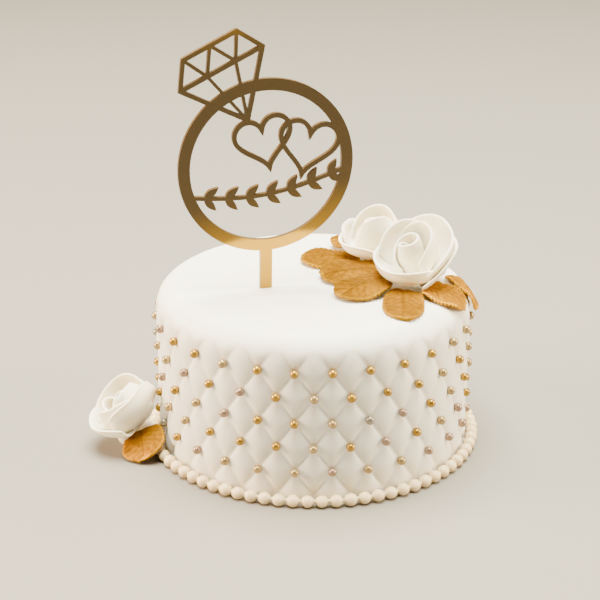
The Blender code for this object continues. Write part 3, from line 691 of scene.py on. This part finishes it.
def make_leaf(node, root, bend, tip, face, width, painted_light_share):
    """One veined leaf, bent along its curve and kept clear of the cake."""
    root, bend, tip = [Vector(point) * MM for point in (root, bend, tip)]
    length = (tip - root).length
    clearance = LEAF_THICKNESS / 2 + REST_GAP
    build = bmesh.new()
    # Stored for the colour: painted shade in the veins, painted light along the edge and over
    # the whole leaf.
    vein_shade_layer = build.verts.layers.float.new("vein_shade")
    edge_light_layer = build.verts.layers.float.new("edge")
    painted_light_layer = build.verts.layers.float.new("painted_light")
    bmesh.ops.create_grid(
        build, x_segments=LEAF_GRID_ACROSS, y_segments=LEAF_GRID_ALONG, size=1
    )
    for vert in build.verts:
        across = vert.co.x
        reach = (vert.co.y + 1) / 2
        share = LEAF_ROOT_SHARE + (LEAF_TIP_SHARE - LEAF_ROOT_SHARE) * reach
        line = root.lerp(bend, share).lerp(bend.lerp(tip, share), share)
        along = (bend.lerp(tip, share) - root.lerp(bend, share)).normalized()
        sideways = along.cross(Vector(face)).normalized()
        up = sideways.cross(along)
        half = 0.5 * width * MM * leaf_half_width(share)
        phase = share * NOTCHES
        notch = (2 * abs(phase - round(phase))) ** 2 * NOTCH_DEPTH * across ** NOTCH_REACH
        wave = LEAF_WAVE * abs(across) * math.sin(share * LEAF_WAVE_TURNS + across)
        rib = LEAF_ARCH * math.sin(math.pi * share) * (1 - abs(across))
        pressed = leaf_vein(share, across, half, length)
        point = line + sideways * half * across * (1 - notch) + up * (wave + rib)
        vert.co = lift_clear(point, clearance) - up * VEIN_DEPTH * pressed
        vert.co.z = max(vert.co.z, clearance)
        # Painted shade in the veins, painted light over the whole leaf and along its edge.
        vert[vein_shade_layer] = pressed * VEIN_SHADE
        vert[painted_light_layer] = painted_light_share
        near = max(abs(across), abs(2 * reach - 1))
        vert[edge_light_layer] = max(0.0, near - EDGE_LIGHT_START) / (1 - EDGE_LIGHT_START)
    leaf = make_piece(build, "gold_" + node, lustre, node)
    wall = leaf.modifiers.new("paste thickness", 'SOLIDIFY')
    wall.thickness = LEAF_THICKNESS
    wall.offset = 0
    return leaf


for settings in LEAVES:
    leaf = make_leaf(*settings)
    print(leaf.name, "has", len(leaf.data.polygons), "faces")

# %% [markdown]
# ## Gold mirror acrylic
# The topper is laser-cut from 3 mm acrylic sheet with a gold mirror coat. The flat faces are
# a true mirror tinted gold, so they show whatever stands in front of the cake, bright or
# dark. Handling leaves faint smears, which blur the mirror a little more in places. The cut
# edges are not coated: there the clear amber plastic looks darker and glossy, with the
# fine marks of the laser, which are drawn 0.8 mm wide here so that they can show.

# %% Acrylic materials
mirror_acrylic, tree, shader = new_material(
    "gold_mirror_acrylic", Base_Color=colour("#a27d28"), Metallic=1.0,
)
SMEAR = 12 * MM
CLEAN_ROUGHNESS, SMEARED_ROUGHNESS = 0.08, 0.12
place = add_node(tree, "ShaderNodeTexCoord").outputs["Object"]
smears = add_node(tree, "ShaderNodeTexNoise", {"Vector": place, "Scale": 1 / SMEAR,
                                               "Detail": 4.0})
polish = add_node(tree, "ShaderNodeMapRange", {
    "Value": smears.outputs["Fac"], "From Min": PATCH_STOPS[0], "From Max": PATCH_STOPS[1],
    "To Min": CLEAN_ROUGHNESS, "To Max": SMEARED_ROUGHNESS,
})
tree.links.new(polish.outputs["Result"], shader.inputs["Roughness"])
cut_edge, tree, shader = new_material(
    "laser_cut_amber_edge", Metallic=0.3, Roughness=0.3,
)
LASER_STRIPE = 0.8 * MM
mottle(tree, shader, LASER_STRIPE, "#624a2c", "#745a38")
print("made", mirror_acrylic.name, "and", cut_edge.name)

# %% [markdown]
# ## The ring topper
# The laser follows one flat outline: a ring on a spiked stick, a cut diamond on the ring, and
# two hearts over a laurel branch inside it. The shapes are drawn as overlapping flat
# polygons. A constrained Delaunay triangulation joins them into one sheet, which handles
# many overlaps better than a chain of Booleans, and one extrusion gives it thickness.

# %% Flat strokes
MITRE_LIMIT = 0.45


def stroke(points, width, closed):
    """Quads along a line in the plane, with mitred corners."""
    count = len(points)
    left = []
    right = []
    for index, point in enumerate(points):
        before = points[index - 1] if closed or index > 0 else point
        after = points[(index + 1) % count] if closed or index < count - 1 else point
        first = point - before if point != before else after - point
        second = after - point if after != point else first
        along = (first.normalized() + second.normalized()).normalized()
        normal = Vector((-along.y, along.x))
        straight = normal.dot(Vector((-first.y, first.x)).normalized())
        reach = 0.5 * width / max(MITRE_LIMIT, straight)
        left.append(point + normal * reach)
        right.append(point - normal * reach)
    quads = []
    for place in range(count if closed else count - 1):
        ahead = (place + 1) % count
        run = points[ahead] - points[place]
        near_side = [right[place], right[ahead]]
        far_side = [left[ahead], left[place]]
        if (near_side[1] - near_side[0]).dot(run) < 0:
            near_side.reverse()
        if (far_side[0] - far_side[1]).dot(run) < 0:
            far_side.reverse()
        quads.append(near_side + far_side)
    return quads


def bar(start, end, width):
    """A straight bar whose ends reach half its width past the points."""
    along = (end - start).normalized() * 0.5 * width
    return stroke([start - along, end + along], width, False)


print("a closed square makes", len(stroke([Vector(p) for p in (
    (0, 0), (1, 0), (1, 1), (0, 1))], 0.1, True)), "quads")

# %% The ring and its stick
STICK_WIDTH = 8.3 * MM
STICK_DEPTH = 38 * MM
STICK_POINT = 6 * MM
RING_CENTRE = Vector((0, 87.3 * MM))
RING_OUTER = 59.4 * MM
RING_BAND = 7.9 * MM
RING_SEGMENTS = 180
ring_middle = RING_OUTER - RING_BAND / 2
ring_line = []
for index in range(RING_SEGMENTS):
    angle = math.tau * index / RING_SEGMENTS
    ring_line.append(RING_CENTRE + Vector((math.sin(angle), -math.cos(angle))) * ring_middle)
polygons = stroke(ring_line, RING_BAND, True)
half = STICK_WIDTH / 2
stick_top = RING_CENTRE.y - ring_middle
polygons.append([
    Vector((-half, STICK_POINT - STICK_DEPTH)),
    Vector((-half / 3, -STICK_DEPTH)),
    Vector((half / 3, -STICK_DEPTH)),
    Vector((half, STICK_POINT - STICK_DEPTH)),
    Vector((half, stick_top)),
    Vector((-half, stick_top)),
])
print("the ring is", round(2 * RING_OUTER / MM), "mm across")

# %% The cut diamond
DIAMOND_TIP = Vector((-12.7 * MM, 119.6 * MM))
DIAMOND_TILT = math.radians(26)
PAVILION = 39 * MM
CROWN = 17.1 * MM
HALF_GIRDLE = 29.9 * MM
HALF_TABLE = 19.3 * MM
FACET = 10.3 * MM
OUTLINE_BAR = 2.9 * MM
FACET_BAR = 2.2 * MM
upward = Vector((-math.sin(DIAMOND_TILT), math.cos(DIAMOND_TILT)))
across = Vector((math.cos(DIAMOND_TILT), math.sin(DIAMOND_TILT)))
girdle = DIAMOND_TIP + upward * PAVILION
table = girdle + upward * CROWN
left, right = girdle - across * HALF_GIRDLE, girdle + across * HALF_GIRDLE
corner_left, corner_right = table - across * HALF_TABLE, table + across * HALF_TABLE
facet_left, facet_right = girdle - across * FACET, girdle + across * FACET
polygons += stroke([DIAMOND_TIP, right, corner_right, corner_left, left], OUTLINE_BAR, True)
polygons += stroke([left, right], OUTLINE_BAR, False)
for start, end in ((corner_left, facet_left), (facet_left, table), (table, facet_right),
                   (facet_right, corner_right), (facet_left, DIAMOND_TIP),
                   (facet_right, DIAMOND_TIP)):
    polygons += bar(start, end, FACET_BAR)
print("the diamond is", round(2 * HALF_GIRDLE / MM), "mm wide")

# %% Two hearts
HEART_BAND = 3.2 * MM
HEART_POINTS = 96
HEART_FINE_STEPS = 1200
HEARTS = (
    (Vector((-2 * MM, 18.5 * MM)), 38 * MM, math.radians(12)),
    (Vector((28.5 * MM, 13 * MM)), 40 * MM, math.radians(-12)),
)


def heart_outline(centre, width, turn):
    """Even points round a heart, from the usual sine and cosine curve."""
    fine = []
    for index in range(HEART_FINE_STEPS):
        angle = math.tau * index / HEART_FINE_STEPS
        x = 16 * math.sin(angle) ** 3
        y = 13 * math.cos(angle) - 5 * math.cos(2 * angle)
        y -= 2 * math.cos(3 * angle) + math.cos(4 * angle)
        fine.append(Vector((x, y)) * width / 32)
    walked = [0.0]
    for before, after in zip(fine, fine[1:] + fine[:1]):
        walked.append(walked[-1] + (after - before).length)
    points = []
    reached = 0
    for step in range(HEART_POINTS):
        while walked[reached] < walked[-1] * step / HEART_POINTS:
            reached += 1
        point = fine[reached % HEART_FINE_STEPS].copy()
        point.rotate(Matrix.Rotation(turn, 2))
        points.append(centre + point)
    return points


for offset, width, turn in HEARTS:
    polygons += stroke(heart_outline(RING_CENTRE + offset, width, turn), HEART_BAND, True)
print("hearts:", len(HEARTS))

# %% A laurel branch under them
BRANCH_LEFT = Vector((-52 * MM, -18 * MM))
BRANCH_RIGHT = Vector((55 * MM, -5 * MM))
BRANCH_SAG = 8 * MM
BRANCH_WIDTH = 2.6 * MM
BRANCH_SEGMENTS = 32
BRANCH_LEAVES = 7
BRANCH_BARE_START = 0.7
BRANCH_BARE_ENDS = 0.6
BRANCH_LEAF_LENGTH = 12 * MM
BRANCH_LEAF_WIDTH = 5 * MM
BRANCH_LEAF_ANGLE = math.radians(42)
BRANCH_LEAF_POINTS = 8
BRANCH_LEAF_LEAN = 0.85


def branch_line(share):
    """A point along the laurel's stem."""
    point = RING_CENTRE + BRANCH_LEFT.lerp(BRANCH_RIGHT, share)
    return point - Vector((0, BRANCH_SAG * math.sin(math.pi * share)))


def branch_leaf(place, along, side):
    """A pointed leaf that grows from the stem, drawn as two mirrored arcs."""
    direction = along.copy()
    direction.rotate(Matrix.Rotation(side * BRANCH_LEAF_ANGLE, 2))
    outward = Vector((-direction.y, direction.x)) * BRANCH_LEAF_WIDTH / 2
    lower = []
    upper = []
    for index in range(1, BRANCH_LEAF_POINTS):
        share = index / BRANCH_LEAF_POINTS
        spine = place + direction * BRANCH_LEAF_LENGTH * share
        swell = outward * math.sin(math.pi * share ** BRANCH_LEAF_LEAN)
        lower.append(spine - swell)
        upper.append(spine + swell)
    tip = place + direction * BRANCH_LEAF_LENGTH
    return [place] + lower + [tip] + upper[::-1]


stem = [branch_line(index / BRANCH_SEGMENTS) for index in range(BRANCH_SEGMENTS + 1)]
polygons += stroke(stem, BRANCH_WIDTH, False)
for index in range(BRANCH_LEAVES):
    share = (index + BRANCH_BARE_START) / (BRANCH_LEAVES + BRANCH_BARE_ENDS)
    along = (branch_line(share + 0.01) - branch_line(share - 0.01)).normalized()
    for side in (1, -1):
        polygons.append(branch_leaf(branch_line(share), along, side))
print("flat shapes to join:", len(polygons))

# %% Join, extrude and stand the sheet
SHEET_THICKNESS = 3 * MM
TOPPER_PLACE = Vector((-32.6 * MM, -17.6 * MM, CAKE_HEIGHT))
TOPPER_LEAN = math.radians(3)
TOPPER_YAW = math.radians(16)
JOIN_DISTANCE = 1e-6
STRAIGHT_ENOUGH = math.radians(0.3)
corners = []
loops = []
for polygon in polygons:
    loops.append(list(range(len(corners), len(corners) + len(polygon))))
    corners.extend(polygon)
points, _, triangles, _, _, origins = delaunay_2d_cdt(
    corners, [], loops, 1, JOIN_DISTANCE, True
)
build = bmesh.new()
front = [build.verts.new((point.x, -SHEET_THICKNESS / 2, point.y)) for point in points]
for triangle, origin in zip(triangles, origins):
    if origin:
        build.faces.new([front[index] for index in triangle])
loose = [vert for vert in build.verts if not vert.link_faces]
bmesh.ops.delete(build, geom=loose, context='VERTS')
bmesh.ops.dissolve_limit(
    build, angle_limit=STRAIGHT_ENOUGH, verts=build.verts, edges=build.edges
)
sheet = bmesh.ops.extrude_face_region(build, geom=build.faces[:])["geom"]
back = [item for item in sheet if isinstance(item, bmesh.types.BMVert)]
bmesh.ops.translate(build, verts=back, vec=(0, SHEET_THICKNESS, 0))
bmesh.ops.recalc_face_normals(build, faces=build.faces)
for face in build.faces:
    face.material_index = 0 if abs(face.normal.y) > 0.5 else 1
stand = Matrix.Translation(TOPPER_PLACE) @ Matrix.Rotation(TOPPER_YAW, 4, 'Z')
stand = stand @ Matrix.Rotation(TOPPER_LEAN, 4, 'X')
bmesh.ops.transform(build, matrix=stand, verts=build.verts)
bmesh.ops.triangulate(build, faces=build.faces)
topper = make_piece(build, "ring_topper", mirror_acrylic, "topper")
topper.data.materials.append(cut_edge)
topper.data.shade_flat()
print("the topper has", len(topper.data.polygons), "triangles")

# %% [markdown]
# ## Floor, camera and light
# The cake stands on a plain pale floor. A mirror only looks like metal when it has
# something dark to show beside something bright, so a photographer lays a dark cloth, a
# flag, in front of it. Here the flag lies on the floor in front of the picture and fades
# into the floor's own colour towards the cake. Only reflections see it, so the floor looks
# the same from every side.
#
# The camera is a long lens held a little above the cake. A large soft light hangs overhead
# and makes the top the brightest part. A warm light on the left, like a window, and a
# weaker one on the right model the quilting, and a faint even light fills the shadows.

# %% Floor and flag
FLOOR_SIZE = 8.0
FLAG_WIDTH = 1.0
FLAG_DEPTH = 0.6
FLAG_PLACE = Vector((0.3, -0.59, 1 * MM))
FLAG_FADE = (-0.37, -0.29)
FLAG_BLUE = "#343c90"
FLOOR_GREY = "#827c72"
FLOOR_PLACE = Vector((0, 0, -0.2 * MM))
floor_material = new_material(
    "pale_matt_floor", Base_Color=colour(FLOOR_GREY), Roughness=0.7
)[0]
flag_material, tree, shader = new_material("graded_flag_cloth", Roughness=0.9)
place = add_node(tree, "ShaderNodeTexCoord").outputs["Object"]
depth = add_node(tree, "ShaderNodeSeparateXYZ", {"Vector": place}).outputs["Y"]
fade = add_node(tree, "ShaderNodeMapRange", {
    "Value": depth, "From Min": FLAG_FADE[0], "From Max": FLAG_FADE[1],
})
shade = add_node(tree, "ShaderNodeMix", {
    0: fade.outputs["Result"], MIX_A: colour(FLAG_BLUE), MIX_B: colour(FLOOR_GREY),
}, data_type='RGBA')
tree.links.new(shade.outputs[MIXED], shader.inputs["Base Color"])


def make_sheet(name, width, depth, place, material):
    """A flat sheet of the studio, lying level."""
    build = bmesh.new()
    bmesh.ops.create_grid(build, x_segments=1, y_segments=1, size=0.5)
    bmesh.ops.scale(build, verts=build.verts, vec=(width, depth, 1))
    bmesh.ops.translate(build, verts=build.verts, vec=place)
    mesh = bpy.data.meshes.new(name)
    build.to_mesh(mesh)
    build.free()
    mesh.materials.append(material)
    sheet = bpy.data.objects.new(name, mesh)
    bpy.context.scene.collection.objects.link(sheet)
    return sheet


make_sheet("floor", FLOOR_SIZE, FLOOR_SIZE, FLOOR_PLACE, floor_material)
flag = make_sheet("flag", FLAG_WIDTH, FLAG_DEPTH, FLAG_PLACE, flag_material)
flag.visible_camera = False
flag.visible_diffuse = False
flag.visible_shadow = False
print("floor is", FLOOR_SIZE, "m wide")

# %% Camera
CAMERA_TARGET = Vector((-0.009, 0, 0.0994))
CAMERA_DISTANCE = 1.0
CAMERA_YAW = math.radians(-0.27)
CAMERA_ELEVATION = math.radians(21.7)
FOCAL_LENGTH = 85.86
SENSOR_WIDTH = 36.0
camera_data = bpy.data.cameras.new("camera")
camera_data.lens = FOCAL_LENGTH
camera_data.sensor_width = SENSOR_WIDTH
camera_data.clip_start = 0.01
camera = bpy.data.objects.new("camera", camera_data)
bpy.context.scene.collection.objects.link(camera)
back = Vector((
    math.sin(CAMERA_YAW) * math.cos(CAMERA_ELEVATION),
    -math.cos(CAMERA_YAW) * math.cos(CAMERA_ELEVATION),
    math.sin(CAMERA_ELEVATION),
))
camera.location = CAMERA_TARGET + back * CAMERA_DISTANCE
camera.rotation_euler = (-back).to_track_quat('-Z', 'Y').to_euler()
bpy.context.scene.camera = camera
print("camera stands at", [round(part, 2) for part in camera.location])

# %% Lights
LIGHTS = (
    ("overhead", (0.0, 0.2, 2.6), 2.0, 530.0, "#fffeee"),
    ("window_left", (-2.45, -0.1, 1.0), 1.4, 260.0, "#ffdfba"),
    ("window_right", (2.45, -0.15, 1.0), 1.4, 160.0, "#ffe8c4"),
)
for name, spot, size, power, tint in LIGHTS:
    light = bpy.data.lights.new(name, 'AREA')
    light.size = size
    light.energy = power
    light.color = colour(tint)[:3]
    lamp = bpy.data.objects.new(name, light)
    lamp.location = spot
    aim = Vector((0, 0, 0.5 * CAKE_HEIGHT)) - Vector(spot)
    lamp.rotation_euler = aim.to_track_quat('-Z', 'Y').to_euler()
    bpy.context.scene.collection.objects.link(lamp)
ROOM_STRENGTH = 0.1
world = bpy.data.worlds.new("room")
world.use_nodes = True
room_light = world.node_tree.nodes["Background"].inputs
room_light["Color"].default_value = colour("#efe9e0")
room_light["Strength"].default_value = ROOM_STRENGTH
bpy.context.scene.world = world
print("lights:", ", ".join(entry[0] for entry in LIGHTS))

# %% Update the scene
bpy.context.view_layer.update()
